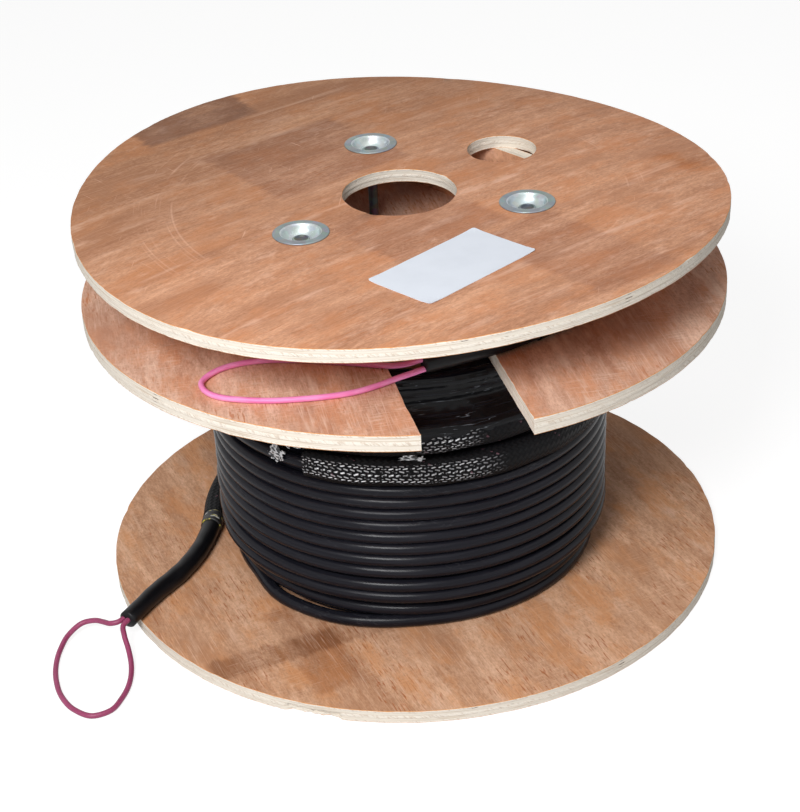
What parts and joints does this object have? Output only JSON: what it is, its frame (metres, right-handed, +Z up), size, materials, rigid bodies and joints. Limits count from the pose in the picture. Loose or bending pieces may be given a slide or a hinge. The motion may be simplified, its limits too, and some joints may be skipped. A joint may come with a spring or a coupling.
{
  "type": "wooden cable drum",
  "caption": "Plywood drum standing on its flange, bolted round a stave barrel and wound with black cable, with a slotted middle flange and a stowage bay for the cable's inner end.",
  "frame": {"origin": "centre of the bottom flange's underside, on the floor", "axes": "+Z up along the drum's axis; -Y is the side on which the middle flange's cable slot opens"},
  "size_m": [0.4509, 0.4, 0.2515],
  "materials": {
    "plywood": "raw reddish veneer with pale ply edges",
    "stave_wood": "raw sawn",
    "zinc_steel": "zinc plated",
    "cable_jacket": "smooth matte jacket",
    "braided_sleeve": "open polyester braid",
    "shrink_tube": "satin shrink tube",
    "loop_cord": "satin sheath",
    "tape": "matte tape",
    "label_paper": "blank smooth paper"
  },
  "bodies": {
    "root": {"top_flange": "plywood", "middle_flange": "plywood", "bottom_flange": "plywood", "barrel_staves": "stave_wood", "spacer_board_right": "plywood", "spacer_board_left": "plywood", "bolt_1": "zinc_steel", "bolt_2": "zinc_steel", "bolt_3": "zinc_steel", "nut_1": "zinc_steel", "nut_2": "zinc_steel", "nut_3": "zinc_steel", "top_washer_1": "zinc_steel", "top_washer_2": "zinc_steel", "top_washer_3": "zinc_steel", "base_washer_1": "zinc_steel", "base_washer_2": "zinc_steel", "base_washer_3": "zinc_steel", "cable_winding": "cable_jacket", "sleeve_winding": "braided_sleeve", "outer_tail_sleeve": "braided_sleeve", "outer_tail_tape": "tape", "outer_tail_shrink": "shrink_tube", "outer_pulling_loop": "loop_cord", "inner_tail_cable": "cable_jacket", "inner_tail_sleeve": "braided_sleeve", "inner_tail_shrink": "shrink_tube", "inner_pulling_loop": "loop_cord", "label": "label_paper"}
  },
  "joints": []
}
